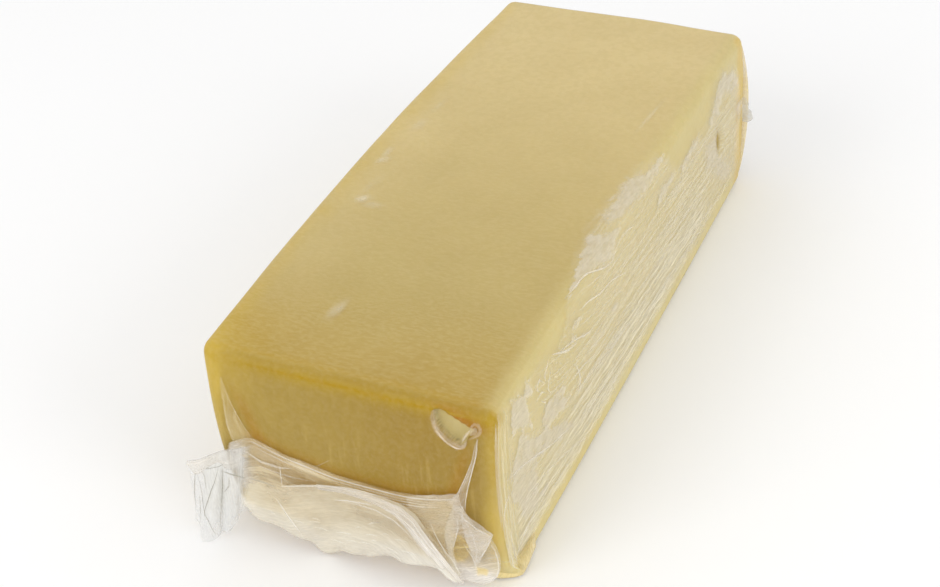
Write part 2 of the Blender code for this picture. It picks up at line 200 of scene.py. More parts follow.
def outline_level(first, second, outline):
    """How far inside a closed outline each point lies, and negative outside: its least distance to
    the outline's sides, with the sign from how many sides a level line to the right crosses."""
    start = np.asarray(outline, float)
    side = np.roll(start, -1, axis=0) - start
    point = np.stack([first, second], axis=-1)[..., None, :] - start
    along = np.clip((point * side).sum(-1) / (side**2).sum(-1), 0, 1)
    away = np.linalg.norm(point - along[..., None] * side, axis=-1).min(-1)
    rise = np.where(side[:, 1] == 0, 1e-9, side[:, 1])
    level = (point[..., 1] >= 0) != (point[..., 1] >= side[:, 1])
    crossed = level & (point[..., 0] < point[..., 1] * side[:, 0] / rise)
    return np.where(crossed.sum(-1) % 2 == 1, away, -away)


def drawn_in(points):
    """Points with the foot of the near right corner drawn in and up: by a share that eases in over
    the last 14 mm across, 10 mm along and 14 mm up."""
    x, y, z = np.moveaxis(points, -1, 0)
    share = ease((x - 46) / 14) * ease((-y - 138) / 10) * ease((14 - z) / 14)
    return points + share[..., None] * FOOT_MOVE


def on_block(sharp):
    """The block's surface, standing on z = 0, for points on the sharp box about its middle.

    A point is pulled in to the rounded edge: the core is the point held a radius inside the box, and
    the surface lies a radius from it. Then the sides barrel out as one less the square along the
    length, the ends crown as one less the square of the height, the top's far right corner is a
    little low and the near right foot is drawn in."""
    right = 0.5 + sharp[..., 0] / SIZE[0]
    top = 0.5 + sharp[..., 2] / SIZE[2]
    low = RADII[2] * (1 - right) + RADII[3] * right
    high = RADII[0] * (1 - right) + RADII[1] * right
    radius = (low * (1 - top) + high * top)[..., None]
    core = np.clip(sharp, radius - SIZE / 2, SIZE / 2 - radius)
    reach = sharp - core
    reach /= np.maximum(np.linalg.norm(reach, axis=-1, keepdims=True), 1e-9)
    x, y, z = np.moveaxis(core + reach * radius, -1, 0)
    along = 1 - (2 * y / SIZE[1]) ** 2
    up = 1 - (2 * z / SIZE[2]) ** 2
    barrel = np.where(x < 0, BARREL_LEFT, BARREL_RIGHT)
    crown = np.where(y < 0, CROWN_NEAR, CROWN_FAR)
    slump = SLUMP * ease((x - 8) / 54) * ease((y - 85) / 65)
    return drawn_in(xyz(
        x * (1 + barrel / SIDE * along),
        y * (1 + crown / END * up),
        (z + TOP / 2) * (1 + (CROWN_TOP * along - slump) / TOP),
    ))


# How far in from each edge of the box its lattice goes by equal angles, and in how many steps
EDGE_BAND, EDGE_STEPS = 8, 6


def spaced(size, step, fine=()):
    """Coordinates across one side of the box: about a step apart over the flat, closer inside each
    fine stretch (from, to, step), and by equal angles, r tan(a), over the rounded edges."""
    flat = size / 2 - EDGE_BAND
    marks = sorted([-flat, flat] + [mark for start, stop, _ in fine for mark in (start, stop)])
    places = []
    for start, stop in zip(marks[:-1], marks[1:]):
        middle = (start + stop) / 2
        steps = [s for a, b, s in fine if a <= middle <= b] + [step]
        places.append(np.linspace(start, stop, max(2, round((stop - start) / min(steps)) + 1)))
    turns = np.tan(np.radians(np.linspace(0, 45, EDGE_STEPS + 1)[1:])) * EDGE_BAND
    return np.unique(np.round(np.concatenate(places + [flat + turns, -flat - turns]), 6))


def grid_quads(ids):
    """The quads between the rows and columns of a grid of point numbers."""
    return np.stack([ids[:-1, :-1], ids[1:, :-1], ids[1:, 1:], ids[:-1, 1:]], axis=-1).reshape(-1, 4)


def box_lattice(xs, ys, zs):
    """Points and outward quads of a box's surface: each cell of the six faces' lattices is a quad,
    and neighbouring faces share the points of their common edge."""
    on = np.zeros((len(xs), len(ys), len(zs)), bool)
    on[[0, -1]] = True
    on[:, [0, -1]] = True
    on[:, :, [0, -1]] = True
    ids = np.full(on.shape, -1)
    ids[on] = np.arange(on.sum())
    i, j, k = np.nonzero(on)
    sides = (ids[:, :, -1], ids[:, :, 0].T, ids[-1], ids[0].T, ids[:, -1].T, ids[:, 0])
    return np.stack([xs[i], ys[j], zs[k]], axis=1), np.concatenate([grid_quads(s) for s in sides])


def point_normals(points, quads):
    """Each point's outward direction: the sum of its quads' cross products of diagonals."""
    corners = points[quads]
    cross = np.cross(corners[:, 2] - corners[:, 0], corners[:, 3] - corners[:, 1])
    total = np.zeros_like(points)
    for corner in range(4):
        np.add.at(total, quads[:, corner], cross)
    return total / np.maximum(np.linalg.norm(total, axis=1, keepdims=True), 1e-12)


def mesh_piece(name, points, faces, material, values=None):
    """A smooth-shaded piece from points in millimetres, with named point values beside them."""
    mesh = bpy.data.meshes.new(name)
    mesh.from_pydata((points * MM).tolist(), [], faces.tolist() if isinstance(faces, np.ndarray) else faces)
    for key, value in (values or {}).items():
        value = np.asarray(value, np.float32)
        kind, field = ("FLOAT", "value") if value.ndim == 1 else ("FLOAT_VECTOR", "vector")
        mesh.attributes.new(key, kind, "POINT").data.foreach_set(field, value.ravel())
    mesh.shade_smooth()
    mesh.materials.append(material)
    piece = bpy.data.objects.new(name, mesh)
    collection.objects.link(piece)
    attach(piece, "root")
    return piece


# ---- materials


class Field:
    """A number or colour that varies over a surface: a node's output. A sum with it is a Math node."""

    def __init__(self, tree, socket):
        """The output's socket, and the tree that its node is in."""
        self.tree, self.socket = tree, socket

    def sum(self, operation, other=0.0, clamp=False):
        """This and another field or number, through one Math node."""
        return put(self.tree, "ShaderNodeMath", {0: self, 1: other}, operation=operation, use_clamp=clamp)

    def __add__(self, other):
        """This plus another."""
        return self.sum("ADD", other)

    def __sub__(self, other):
        """This less another."""
        return self.sum("SUBTRACT", other)

    def __mul__(self, other):
        """This times another."""
        return self.sum("MULTIPLY", other)

    def __truediv__(self, other):
        """This over another."""
        return self.sum("DIVIDE", other)


def join(node, inputs):
    """A node's inputs: one given as a field is linked, and any other is set."""
    for key, value in inputs.items():
        if isinstance(value, Field):
            value.tree.links.new(value.socket, node.inputs[key])
        else:
            node.inputs[key].default_value = value


def put(tree, kind, inputs, output=0, **settings):
    """A new node with its settings and inputs, as the field of one of its outputs."""
    node = tree.nodes.new(kind)
    for name, value in settings.items():
        setattr(node, name, value)
    join(node, inputs)
    return Field(tree, node.outputs[output])


def named(tree, name, output="Fac"):
    """The piece's own point values of this name."""
    return put(tree, "ShaderNodeAttribute", {}, output, attribute_name=name)


def ramp(value, low, high, start=0.0, stop=1.0):
    """The value carried smoothly from low..high to start..stop."""
    ends = {"Value": value, "From Min": low, "From Max": high, "To Min": start, "To Max": stop}
    return put(value.tree, "ShaderNodeMapRange", ends, "Result", interpolation_type="SMOOTHSTEP")


def mixed(share, first, second):
    """A mix of two numbers."""
    return put(share.tree, "ShaderNodeMix", {0: share, 2: first, 3: second})


def blend(share, first, second):
    """A mix of two colours."""
    return put(share.tree, "ShaderNodeMix", {0: share, 6: first, 7: second}, 2, data_type="RGBA")


def grain(vector, scale, detail=3.0, rough=0.5, stretch=(1, 1, 1)):
    """Noise over a vector that is first stretched."""
    mapped = put(vector.tree, "ShaderNodeMapping", {"Vector": vector, "Scale": stretch})
    inputs = {"Vector": mapped, "Scale": scale, "Detail": detail, "Roughness": rough}
    return put(vector.tree, "ShaderNodeTexNoise", inputs)


def bump(height, strength, depth):
    """Low relief from a height, as a normal."""
    return put(height.tree, "ShaderNodeBump", {"Strength": strength, "Distance": depth, "Height": height})


def srgb(red, green, blue):
    """A linear colour from 8-bit display values."""
    share = np.array([red, green, blue]) / 255.0
    line = np.where(share <= 0.04045, share / 12.92, ((share + 0.055) / 1.055) ** 2.4)
    return (*(float(v) for v in line), 1.0)


def new_material(name):
    """A material with its tree and its one Principled shader."""
    made = bpy.data.materials.new(name)
    made.use_nodes = True
    tree = made.node_tree
    return made, tree, tree.nodes["Principled BSDF"]


TAN = srgb(188, 166, 102)
# The rind's tint where it is painted lighter, as sheen, towards the far end
FAR_SHEEN_TAN = srgb(215, 193, 136)
# The rind's other tints, in the order in which they are laid, each by the share of its name
RIND_TINTS = {
    # end: the end faces' darker tint, painted shade
    "amber": srgb(180, 150, 70), "end": srgb(165, 138, 60), "dusk": srgb(158, 127, 46),
    # hollow: painted shade inside the cut side's eye
    "cut": srgb(207, 190, 130), "hollow": srgb(180, 150, 70), "gold": srgb(208, 177, 71),
    # deep and orange: painted shade along the near end's top edge, above its eye and beside its webs, and a
    # deeper tone above its seam; pale: in part painted light, on the near eye's floor
    "deep": srgb(176, 143, 8), "orange": srgb(164, 110, 0), "pale": srgb(219, 205, 147),
    "shade": srgb(132, 112, 52),
}
STROKE_TAN = srgb(208, 182, 108)
# The painted shade line along the near end's top edge
CREASE_SHADE_GOLD = srgb(172, 137, 0)
MOTTLE_TAN = srgb(230, 214, 170)
DARKER = (0.80, 0.77, 0.66, 1)
MILKY_FILM = srgb(244, 236, 208)
PATCH_FILM = srgb(238, 231, 215)
WARM_FILM = srgb(232, 210, 146)
# How high the bumps of a finish are, in metres
RIND_RELIEF, FILM_RELIEF = 0.0003, 0.0005


def cheese_material():
    """Gouda rind: tan on top, lighter towards the far end as painted sheen, amber on the ends and near
    them, the ends darker as painted shade, lighter on the cut side, with a fine mottle, upright lighter
    strokes on the ends and a darker line along the end's upper edge, painted shade. Painted shade also
    deepens the rind above the near eye, beside the end's webs and in the eyes, and painted light
    lightens the near eye's floor."""
    made, tree, shader = new_material("gouda_rind")
    place = put(tree, "ShaderNodeTexCoord", {}, "Object")
    end, far = named(tree, "end"), named(tree, "far")
    top_mottle = grain(place, 640.0, 3.0, 0.65, (0.6, 1.5, 1.2))
    end_mottle = grain(place, 650.0, 2.0, 0.6, (0.9, 1.0, 1.0))
    mottle = mixed(end, top_mottle, end_mottle)
    cloud = grain(place, 34.0, 3.0, 0.55)
    speck = grain(place, 900.0, 2.0, 0.5)
    stroke = grain(place, 620.0, 2.0, 0.5, (1.0, 1.0, 0.07))
    cell = grain(place, 330.0, 3.0, 0.6, (1.0, 1.0, 0.35))
    pebble = grain(place, 380.0, 2.0, 0.6, (0.8, 0.8, 1.0))
    # Painted sheen: off the ends the rind grows lighter towards the far end and over the near left, by the
    # far share
    colour = blend(far, TAN, FAR_SHEEN_TAN)
    for share, tint in RIND_TINTS.items():
        colour = blend(named(tree, share), colour, tint)
    colour = blend(ramp(stroke, 0.55, 0.72) * named(tree, "stroke") * 0.2, colour, STROKE_TAN)
    # Painted shade: a dark golden line along the near end's top edge
    core = ramp(named(tree, "crease").sum("ABSOLUTE"), 0.1, 1.0, 1.0, 0.0)
    colour = blend(core * named(tree, "crease_share"), colour, CREASE_SHADE_GOLD)
    darker = put(tree, "ShaderNodeMixRGB", {0: 1.0, 1: colour, 2: DARKER}, blend_type="MULTIPLY")
    colour = blend(ramp(cloud, 0.3, 0.7, 0.0, 0.22) + ramp(cell, 0.40, 0.62, 0.0, 0.2) * end, colour, darker)
    colour = blend(ramp(pebble, 0.42, 0.6, 0.0, 0.22) * far, colour, darker)
    pale = ramp(mottle, 0.38, 0.68, 0.0, 0.13) * ramp(end, 0.0, 1.0, 1.0, 0.5)
    join(shader, {
        "Base Color": blend(pale, colour, MOTTLE_TAN),
        "Roughness": ramp(mottle, 0.3, 0.7, 0.42, 0.56),
        "Normal": bump(mottle * 0.7 + speck * 0.3, 0.18, RIND_RELIEF),
        "Subsurface Weight": 0.15, "Subsurface Radius": (0.006, 0.004, 0.0015), "Subsurface Scale": 1.0,
        "Specular IOR Level": 0.22, "Coat Weight": 0.05, "Coat Roughness": 0.35,
    })
    return made


def film_material(name, haze, cloudy, streaky, tint):
    """Clear film. haze is how white it is where smooth, cloudy how far that varies, and streaky how
    white the fine streaks along it are. A sheet's point values give its own haze, its run and how
    warm its tint is."""
    made, tree, shader = new_material(name)
    run, own_haze = named(tree, "run", "Vector"), named(tree, "haze")
    cloud = grain(run, 0.07, 3.0, 0.55, (0.5, 1.0, 1.0))
    streak = grain(run, 0.45, 3.0, 0.55, (0.09, 1.0, 1.0))
    fine = grain(run, 1.4, 3.0, 0.6, (0.2, 1.0, 1.0))
    lines = ramp(streak, 0.48, 0.72, 0.0, streaky) + ramp(fine, 0.5, 0.8, 0.0, streaky * 0.6)
    white = (ramp(cloud, 0.3, 0.7, -cloudy, cloudy) + haze + lines) * own_haze
    edge = put(tree, "ShaderNodeLayerWeight", {"Blend": 0.3}, "Facing").sum("POWER", 3.0) * own_haze * 0.2
    join(shader, {
        "Base Color": blend(named(tree, "warm"), srgb(*tint), WARM_FILM),
        "Roughness": ramp(fine, 0.3, 0.7, 0.2, 0.35),
        "Alpha": white.sum("ADD", edge, clamp=True),
        "Normal": bump(streak * 0.7 + fine * 0.3, 0.3, FILM_RELIEF),
    })
    return made


def skin_material():
    """The tight film round the block: clear over the rind, and over the cut side milky, with crisp
    paler patches and fine streaks that run along it."""
    made, tree, shader = new_material("film_tight")
    run, milk = named(tree, "run", "Vector"), named(tree, "milk")
    soft = named(tree, "soft") + 1.0
    ragged = grain(run, 0.30, 5.0, 0.65, (0.6, 1.0, 1.0))
    uneven = ragged - 0.5
    patch = ramp((named(tree, "patch") + uneven * 8.0) / soft, -1.3, 1.3)
    inside = ramp((named(tree, "zone") + uneven * 10.0) / soft, -3.0, 3.0)
    # The streaks wander across the run by up to 3 mm
    sway = {0: grain(run, 0.09, 2.0, 0.5), 1: (0.0, 3.0, 0.0)}
    wander = put(tree, "ShaderNodeVectorMath", sway, operation="MULTIPLY")
    bent = put(tree, "ShaderNodeVectorMath", {0: run, 1: wander}, operation="ADD")
    broad = grain(bent, 0.45, 2.0, 0.5, (0.026, 1.0, 1.0))
    streak = grain(bent, 1.0, 2.0, 0.5, (0.032, 1.0, 1.0))
    fine = grain(bent, 2.0, 2.0, 0.55, (0.05, 1.0, 1.0))
    fleck = grain(run, 0.55, 4.0, 0.65, (0.4, 1.0, 1.0))
    crumb = grain(run, 1.1, 3.0, 0.6, (0.8, 1.0, 1.0))
    along, across, out = (put(tree, "ShaderNodeSeparateXYZ", {0: run}, output) for output in range(3))
    turned = put(tree, "ShaderNodeCombineXYZ", {0: across, 1: along, 2: out})
    upright = grain(turned, 0.9, 3.0, 0.55, (0.06, 1.0, 1.0))
    lines = ramp(broad, 0.38, 0.64, 0.0, 0.12) + ramp(streak, 0.40, 0.66, 0.0, 0.16)
    lines = (lines + ramp(fine, 0.42, 0.68, 0.0, 0.11)) * milk + ramp(fleck, 0.52, 0.66, 0.0, 0.12)
    lines = lines + ramp(crumb, 0.54, 0.62, 0.0, 0.45) * named(tree, "crumbs")
    lines = mixed(named(tree, "upright"), lines, ramp(upright, 0.40, 0.66, 0.0, 0.26))
    milky = (ramp(milk, 0.0, 1.4, 0.08, 0.25) + lines) * inside
    patchy = patch * (ramp(ragged, 0.3, 0.7, 0.33, 0.51) + lines * 0.1)
    # Painted glints over the top, and haze round the near eye, raise the alpha here
    alpha = milky.sum("MAXIMUM", patchy).sum("MAXIMUM", named(tree, "veil_and_glints"))
    calm = inside * ramp(patch, 0.0, 1.0, 1.0, 0.4)
    join(shader, {
        "Base Color": blend(patch, MILKY_FILM, PATCH_FILM),
        "Roughness": ramp(fine, 0.3, 0.7, 0.2, 0.34),
        "Alpha": alpha.sum("ADD", 0.006, clamp=True),
        "Normal": bump((broad + streak + fine) * calm + patch * 0.3 / soft, 0.17, RIND_RELIEF),
    })
    return made


RIND = cheese_material()
SKIN_FILM = skin_material()
FLAP_FILM = film_material("film_folded", 0.36, 0.10, 0.07, (242, 238, 226))
BAND_FILM = film_material("film_single", 0.14, 0.07, 0.14, (238, 232, 222))
EAR_FILM = film_material("film_loose", 0.22, 0.09, 0.08, (228, 229, 228))
CREASE_FILM = film_material("film_crease", 0.30, 0.08, 0.1, (246, 242, 234))
RIM_FILM = film_material("film_rim", 0.24, 0.08, 0.1, (244, 228, 206))
GOLD_FILM = film_material("film_over_rind", 0.42, 0.1, 0.1, (236, 217, 156))
SHADE_FILM = film_material("film_shaded_fold", 0.5, 0.08, 0.1, (178, 174, 160))


# ---- the block and its tight film


def eye_share(x, z):
    """How deep the near end's eye is, from 0 at its rim to 1 on its floor: the distance inside the
    rim over that distance and the distance outside the floor."""
    rim = np.maximum(outline_level(x, z, EYE_RIM), 0)
    floor = np.maximum(-outline_level(x, z, EYE_FLOOR), 0)
    return ease(rim / np.maximum(rim + floor, 1e-6))


def eye_side(x, z):
    """From 0 on the eye's upper right to 1 on its lower left."""
    return ease((44 - x + (78.5 - z) * 1.3) / 6 + 0.5)


def eye_line(x, z):
    """The painted shade line where the eye's floor meets its lower left wall, by the eye's depth."""
    return bell((eye_share(x, z) - 0.86) / 0.1) * eye_side(x, z)


def side_hollow(y, z):
    """How deep the cut side's eye is, from 0 to 1, by a leaning ellipse."""
    middle, up, half, tall, lean = SIDE_EYE
    turn = math.radians(lean)
    across = (y - middle) * math.cos(turn) + (z - up) * math.sin(turn)
    above = (z - up) * math.cos(turn) - (y - middle) * math.sin(turn)
    return 1 - ease((np.hypot(across / half, above / tall) - 0.35) / 0.7)


def face_shares(sharp):
    """How squarely a point of the sharp box lies on its near end, far end and right side."""
    x, y, _ = sharp.T
    return ease((-y - END + 4) / 4), ease((y - END + 4) / 4), ease((x - SIDE + 3) / 3)


def side_place(sharp):
    """A point's place on the cut side: along it, and up it and on across the top."""
    return sharp[:, 1], sharp[:, 2] + TOP / 2 + SIDE - sharp[:, 0]


# How deep the worn edge is at its middle
WORN_DEPTH = 1.3


def worn_edge(sharp):
    """How far the top edge beside the cut side is worn down: a bell across the edge, along the
    stretch where the pale film goes over it."""
    along, up = side_place(sharp)
    stretch = ease((along + 92) / 30) * ease((26 - along) / 30)
    on_edge = (sharp[:, 2] > TOP / 2 - 12) & (sharp[:, 0] > SIDE - 12)
    return WORN_DEPTH * stretch * bell((up - TOP) / 6) * on_edge


def make_cheese():
    """The cheese itself: the block a rind's depth in, with its eyes, a slightly uneven rind and the
    shares of each colour."""
    xs = spaced(SIZE[0], 1.8, [(34, 54.5, 0.5)])
    ys = spaced(SIZE[1], 2.2, [(102, 119, 0.9)])
    zs = spaced(SIZE[2], 1.6, [(-8, 12, 0.9), (22, 36, 0.5)])
    sharp, quads = box_lattice(xs, ys, zs)
    points = on_block(sharp)
    normals = point_normals(points, quads)
    near, far, right = face_shares(sharp)
    x, y, z = points.T
    uneven = 0.20 * noise(points, (26, 30, 22), 3) + 0.07 * noise(points, (9, 11, 8), 4)
    inset = RIND_DEPTH + uneven * ease((z - 1) / 6) + worn_edge(sharp)
    eye = eye_share(x, z)
    hollow = EYE_DEPTH * eye * near + SIDE_EYE_DEPTH * side_hollow(y, z) * right
    points = points - normals * (inset + hollow)[:, None]
    end = np.maximum(near, far)
    from_near = END + y
    wave = 8 * noise(points, (34, 200, 200), 5)
    near_edge = np.clip(1 - (from_near + wave) / 70, 0, 1) ** 1.6 * (1 - end)
    corner = bell((x + 64) / 24, from_near / 24, (z - 88) / 30)
    seam_up = np.interp(x, *np.transpose(SEAM))
    above_seam = bell(np.maximum(z - seam_up, 0) / 5) * ease((50 - np.abs(x)) / 8)
    # Painted shade along the near end's top edge, where it turns over: a thin dark golden line and a wider
    # deep band
    crease = np.where(from_near < 9, np.clip(z - 83.9 + 0.3 * noise(points, (20, 20, 20), 6), -9, 9), 9)
    edge_shade = bell((z - 84) / 3.4, np.maximum(from_near - 2, 0) / 3.4) * 0.75
    below_webs = WEB_TOP - z
    # Painted shade just beside the end's two webs
    web_left = bell((x + 50 - below_webs * 0.36 - 1) / 2.6) * ease((z - 46) / 5)
    web_right = bell((52 - below_webs * 0.32 - x) / 2.6) * ease((z - 44) / 5)
    webs = np.maximum(web_left, web_right) * ease(below_webs / 16)
    # Painted shade in orange above the near eye, under its upper lip, and on the top edge over it
    eye_shade = bell((x - 48) / 8.5, (z - 82.6 + 0.22 * (x - 47)) / 2.7) * near
    eye_shade_top = bell((x - 50.5) / 7, from_near / 3) * (z > 80)
    orange = 0.95 * eye_shade * (1 - eye) + 0.5 * eye_shade_top * (1 - near)
    # Painted shade in deep orange beside the webs; just above the seam the rind is also a deeper orange
    orange += (0.4 * webs + 0.3 * above_seam * ease((seam_up + 6 - z) / 4)) * near
    deep = edge_shade + (0.25 * above_seam + 0.3 * webs) * near
    left_strip = end * ease((-x - 52 - 0.10 * below_webs) / 3)
    right_strip = end * ease((x - 54 + 2.6 * ease((60 - z) / 25)) / 7)
    left_band = ease((-x - 50) / 10) * (1 - end) * ease((z - 80) / 6)
    left_band *= 0.62 + 0.35 * noise(points, (4, 7, 4), 8)
    top_strip = ease((x - 52) / 8) * (1 - end)
    low_strip = right * ease((15 - z) / 5) * (1 - end)
    far_strip = right * ease((y - 137) / 6)
    foot = bell((x - 58.5) / 6, z / 27, from_near / 9)
    lower = side_hollow(y, z) * right
    shaded = eye_line(x, z) * near * 0.6 + lower * ease((108.6 - y - 0.35 * (z - 47)) / 2 + 0.5) * 0.9
    dusk = bell((x - 36) / 34) * (0.75 + 0.25 * noise(points, (12, 20, 9), 7))
    gold = 0.33 * left_strip + (0.42 + 0.5 * ease((52 - z) / 25)) * right_strip + 0.4 * left_band
    gold += 0.6 * corner + 0.5 * far_strip + 0.3 * low_strip * ease((-40 - y) / 30)
    # On the near eye's floor the pale share is painted light, the floor lighter as if lit from above
    pale = 0.72 * ease(eye * 2.4 - 0.7) * near + 0.55 * low_strip * (1 - far_strip)
    pale += 0.9 * foot + 0.22 * end * ease((x - 57) / 5) * ease((66 - z) / 20)
    values = {
        # far: where the rind is painted lighter as sheen; it also shows the pebbled grain
        "far": (ease((y + 120) / 250) + 0.3 * ease((-x - 20) / 30) * ease((60 - y) / 60)) * (1 - end),
        "amber": np.clip(near_edge + 0.8 * corner * (1 - end), 0, 1) * (1 - right),
        # hollow: the cut side's eye, darkened to amber as painted shade
        "hollow": 0.7 * lower,
        # end: the end faces, where the end tint darkens the rind as painted shade
        "end": end,
        "dusk": near * dusk * (1 - right_strip),
        "cut": np.maximum(right, 0.7 * top_strip) * (1 - end) * (1 - far_strip),
        "gold": np.clip(gold, 0, 1),
        "deep": np.clip(deep, 0, 1) * (1 - 0.6 * corner),
        # crease: the distance from the painted shade line along the near end's top edge
        "crease": crease,
        "crease_share": 0.9 * ease((x + 56) / 40) * ease((57 - x) / 14),
        "orange": np.clip(orange, 0, 1),
        "pale": np.clip(pale, 0, 1),
        "shade": np.clip(shaded, 0, 1),
        "stroke": end * ease((70 - z) / 16),
    }
    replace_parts(mesh_piece("cheese", points, quads, RIND, values), "cheese_pack")


def run_of(y, up):
    """The run of the creases on the cut side: along it, and across them. They fall slowly towards
    the far end, and more steeply near the upper corner of the near end."""
    upper = ease((up - 45) / 25)
    return y, up + 0.09 * y + 0.10 * np.minimum(y + 50, 0) * upper


def zone_level(y, up):
    """How far inside the creased part of the cut side a place lies: the least of its depth below
    the upper border, above the lower one and before the far one."""
    top = np.interp(y, *np.transpose(ZONE_TOP))
    return np.minimum(np.minimum(top - up, up - ZONE_LOW), ZONE_FAR - y)


def patch_level(y, up):
    """How far inside the pale patches a place lies: the greatest level over their outlines."""
    return np.max([outline_level(y, up, outline) for outline in PATCHES], axis=0)


def side_lift(y, up):
    """How far the film stands off the cut side: long folds along the run of its creases, flatter
    in the pale patches."""
    along, across = run_of(y, up)
    run = xyz(along, across, 0)
    rough = 1 - 0.75 * ease(patch_level(y, up) / 1.5 + 0.5)
    inside = ease(zone_level(y, up) / 5 + 0.3)
    long_folds = 0.17 * folds(run, (150, 4.2, 9), 21) + 0.10 * folds(run, (100, 2.4, 9), 22)
    return inside * (rough * long_folds + 0.1)


def make_skin():
    """The tight film: the block's outer surface with the cut side's folds, sunk into the eyes."""
    xs = spaced(SIZE[0], 2.2, [(34, 54.5, 1.0)])
    sharp, quads = box_lattice(xs, spaced(SIZE[1], 1.9), spaced(SIZE[2], 1.1))
    points = on_block(sharp)
    normals = point_normals(points, quads)
    near, far, right = face_shares(sharp)
    x, y, z = points.T
    along_side, up_side = side_place(sharp)
    beside = (sharp[:, 0] > SIDE - 14) & ((sharp[:, 2] > TOP / 2 - 0.01) | (sharp[:, 0] > SIDE - 0.01))
    ends = (1 - near) * (1 - far)
    lift = side_lift(along_side, up_side) * beside * ends
    eye, lower = eye_share(x, z), side_hollow(y, z) * right
    out = 0.05 * noise(points, (14, 20, 12), 31) * ease((z - 1) / 6) - worn_edge(sharp)
    out += lift - 0.7 * EYE_DEPTH * eye * near - 0.75 * SIDE_EYE_DEPTH * lower
    points = points + normals * out[:, None]
    run = np.where(beside[:, None], xyz(*run_of(along_side, up_side), 0), points)
    ring = ease((eye - 0.02) / 0.15) * ease((0.98 - eye) / 0.2) * eye_side(x, z) * near
    top = ease((sharp[:, 2] - TOP / 2 + 3) / 3)
    side_ends = np.where(beside, ends, 0)
    milk = 0.6 + 0.35 * ease((y + 100) / 40 + 0.012 * (45 - z)) - 0.32 * ease((z - 52) / 20)
    values = {
        "run": run,
        "zone": np.where(side_ends > 0.05, zone_level(along_side, up_side), -20.0) - 40 * lower,
        "patch": np.where(side_ends > 0.3, patch_level(along_side, up_side), -20.0) - 30 * lower,
        "soft": ease((y + 60) / 40) + ease((y - 60) / 30),
        "upright": ease((-140 - y) / 5),
        "milk": milk + 0.8 * ease((48 - z) / 26) * ease((100 - y) / 40),
        "crumbs": bell((y + 97) / 13, (z - 72) / 12) * right,
        # Painted glints on the film over the top, and the film's haze round the near eye
        "veil_and_glints": np.maximum(top_glints(x, y) * top, 0.2 * ring),
    }
    mesh_piece("film_skin", points, quads, SKIN_FILM, values)


def top_glints(x, y):
    """Faint white on the film over the top, as painted glints: soft glints near its left edge and one small
    flake, each a leaning bell about (across, along) of these half sizes and this white."""
    spots = (
        (-48.8, 32.6, 0.8, 6, 0.4), (-49.3, 17.1, 2.4, 5, 0.2), (-51.7, -14.2, 1.6, 2.6, 0.5),
        (-52.4, -8, 0.9, 4, 0.35), (-46.1, -44.5, 2.4, 2.4, 0.55), (-40, -47.5, 4, 2, 0.25),
        (-47, -33.9, 1.2, 6, 0.2), (-20.5, -115, 1.5, 5, 0.5), (47.3, 54, 0.8, 11, 0.3),
    )
    return np.max([white * bell((x - across - 0.08 * (y - along)) / half_x, (y - along) / half_y)
                   for across, along, half_x, half_y, white in spots], axis=0)


# ---- sheets of folded film


def end_front(z, crown):
    """How far an end's crowned face lies from the middle at a height."""
    return END + crown * (1 - (2 * z / TOP - 1) ** 2)


def curve(share, knots, soft=0.02):
    """Places along a list of knots spaced evenly by share: straight between knots, and softened by
    the mean of five reads within a share either way."""
    knots = np.asarray(knots, float)
    spots = np.linspace(0, 1, len(knots))
    reads = np.clip(np.asarray(share)[..., None] + soft * np.array([-1, -0.5, 0.0, 0.5, 1]), 0, 1)
    return np.stack([np.interp(reads, spots, knots[:, c]).mean(-1) for c in range(knots.shape[1])], -1)


def film_sheet(name, points, material, white, seed, upright=False, warm=0.0):
    """A sheet of film from a grid of points, with its run in millimetres and its haze, made a closed
    wall by its thickness. Its streaks run along its rows, or down its columns."""
    rows, columns = points.shape[:2]
    ids = np.arange(rows * columns).reshape(rows, columns)
    along = np.cumsum(np.linalg.norm(np.diff(points, axis=1, prepend=points[:, :1]), axis=-1), axis=1)
    down = np.cumsum(np.linalg.norm(np.diff(points, axis=0, prepend=points[:1]), axis=-1), axis=0)
    if upright:
        along, down = down, along
    run = xyz(along, down, 37.0 * seed).reshape(-1, 3)
    haze, warmth = (np.broadcast_to(value, (rows, columns)).reshape(-1) for value in (white, warm))
    values = {"run": run, "haze": haze, "warm": warmth}
    piece = mesh_piece(name, points.reshape(-1, 3), grid_quads(ids), material, values)
    piece.visible_shadow = False
    wall = piece.modifiers.new("thickness", "SOLIDIFY")
    wall.thickness = FILM_THICK * MM
    wall.offset = 0


def grid(rows, columns):
    """Parameters of a sheet: v down its rows and u along its columns, both from 0 to 1."""
    return np.meshgrid(np.linspace(0, 1, rows), np.linspace(0, 1, columns), indexing="ij")


def crumple(points, cell, size, seed):
    """A sheet's points with folds and small dents across it, added along y."""
    points = points.copy()
    spots = points * np.array([1, 0.3, 1])
    points[..., 1] -= size * (folds(spots, cell, seed) - 0.5)
    points[..., 1] -= 0.35 * size * noise(spots, np.asarray(cell) / 2.6, seed + 1)
    return points


def between(first, second, u):
    """Flat places (x, z) a share u of the way from one line of places to another."""
    return first * (1 - u[..., None]) + second * u[..., None]


def stand_off(flat, out, crown):
    """Places (x, z) of an end set a distance out from its crowned face."""
    return xyz(flat[..., 0], -end_front(flat[..., 1], crown) - out, flat[..., 1])


def span(rows, columns, first, second, across=False):
    """Parameters of a sheet between two lines of an end, with its flat places: its rows run with the
    lines, or its columns do where it goes across from one to the other."""
    v, u = grid(rows, columns)
    run, share = (v, u) if across else (u, v)
    return v, u, between(curve(run, first), curve(run, second), share)


